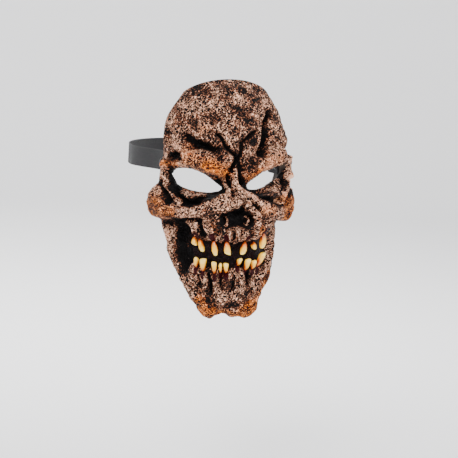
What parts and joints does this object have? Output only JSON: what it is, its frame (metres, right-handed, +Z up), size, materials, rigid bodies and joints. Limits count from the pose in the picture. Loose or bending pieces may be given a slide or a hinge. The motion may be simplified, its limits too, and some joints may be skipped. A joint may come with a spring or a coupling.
{
  "type": "skull face mask with head strap",
  "caption": "Sculpted skull face mask of painted latex with set-in ivory teeth and open eye sockets, held by a riveted elastic head strap.",
  "frame": {"origin": "on the middle line inside the bridge of the nose, level with the eyes, where the mask sits on the wearer's face", "axes": "+Z up the face, -Y the way the mask looks, +X to the right of someone looking at the mask"},
  "size_m": [0.1536, 0.2191, 0.235],
  "materials": {
    "painted_latex": "matte cast latex, black base with beige-pink and orange dry-brushed over the raised grain",
    "tooth_enamel": "glossy ivory, amber to brown towards the root",
    "black_elastic": "woven ribbed elastic",
    "black_metal": "black lacquered rivet"
  },
  "bodies": {
    "root": {"mask_shell": "painted_latex", "tooth_upper_1": "tooth_enamel", "tooth_upper_2": "tooth_enamel", "tooth_upper_3": "tooth_enamel", "tooth_upper_4": "tooth_enamel", "tooth_upper_5": "tooth_enamel", "tooth_upper_6": "tooth_enamel", "tooth_upper_7": "tooth_enamel", "tooth_lower_1": "tooth_enamel", "tooth_lower_2": "tooth_enamel", "tooth_lower_3": "tooth_enamel", "tooth_lower_4": "tooth_enamel", "tooth_lower_5": "tooth_enamel", "tooth_lower_6": "tooth_enamel", "tooth_lower_7": "tooth_enamel", "tooth_lower_8": "tooth_enamel", "tooth_lower_9": "tooth_enamel", "head_strap": "black_elastic", "strap_rivet_left": "black_metal", "strap_rivet_right": "black_metal"}
  },
  "joints": []
}
